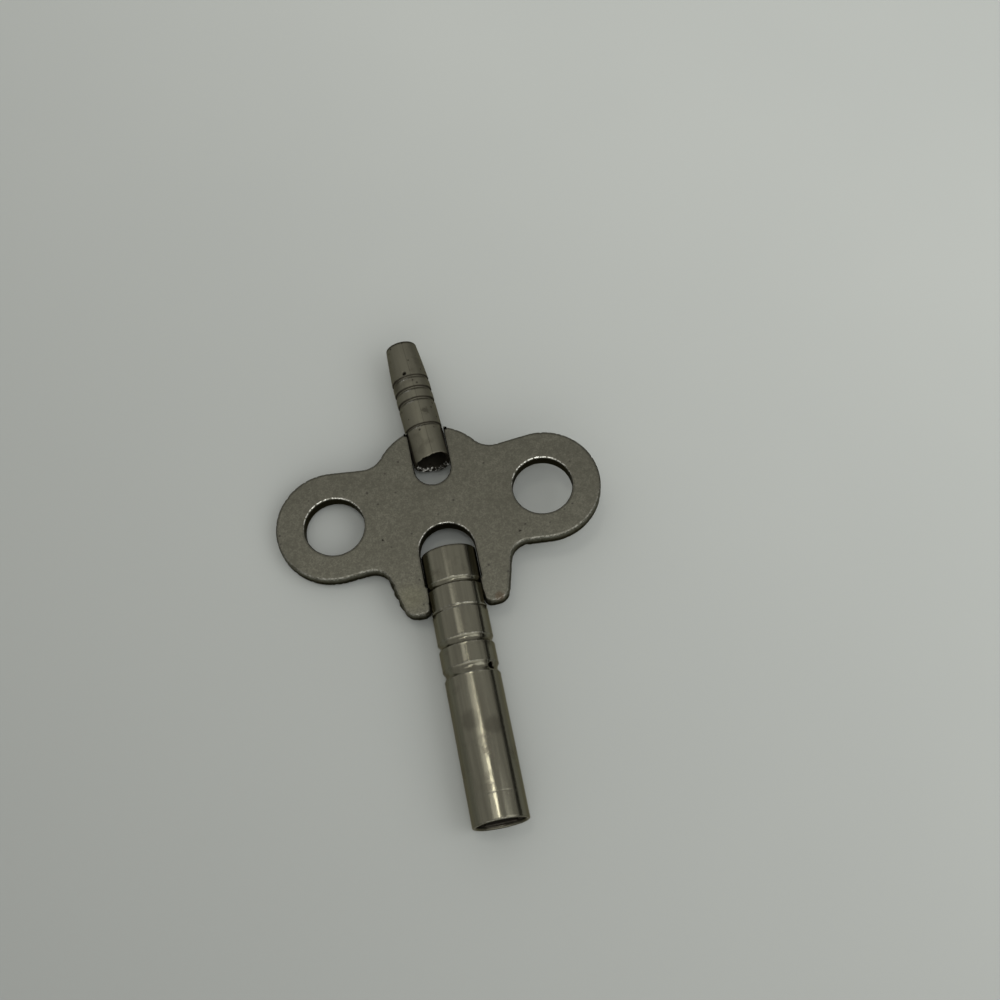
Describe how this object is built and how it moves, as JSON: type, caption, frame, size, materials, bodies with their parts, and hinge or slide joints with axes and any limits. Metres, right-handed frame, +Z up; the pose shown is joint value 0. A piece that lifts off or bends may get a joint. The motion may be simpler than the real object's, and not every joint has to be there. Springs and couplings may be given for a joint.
{
  "type": "double-ended clock winding key",
  "caption": "Double-ended clock key: winged plate handle gripping a large square-socket winding barrel and, opposite it, a small tapered regulating barrel.",
  "frame": {"origin": "centre of the winding socket's mouth, on the axis of the large barrel", "axes": "+Y along the large barrel towards the small end, +X along the wings, +Z up, square to the wing plate; the plate's middle plane is Z = 0"},
  "size_m": [0.042, 0.0646, 0.007],
  "materials": {
    "wing_plate": "satin nickel plate, fine mottled grain, worn edges",
    "winding_barrel": "semi-polished nickel plate with lengthwise streaks",
    "winding_socket": "dull bored steel",
    "regulator_barrel": "worn nickel plate",
    "regulator_socket": "dull bored steel"
  },
  "bodies": {
    "root": {"wing_plate": "wing_plate", "winding_barrel": "winding_barrel", "winding_socket": "winding_socket", "regulator_barrel": "regulator_barrel", "regulator_socket": "regulator_socket"}
  },
  "joints": []
}
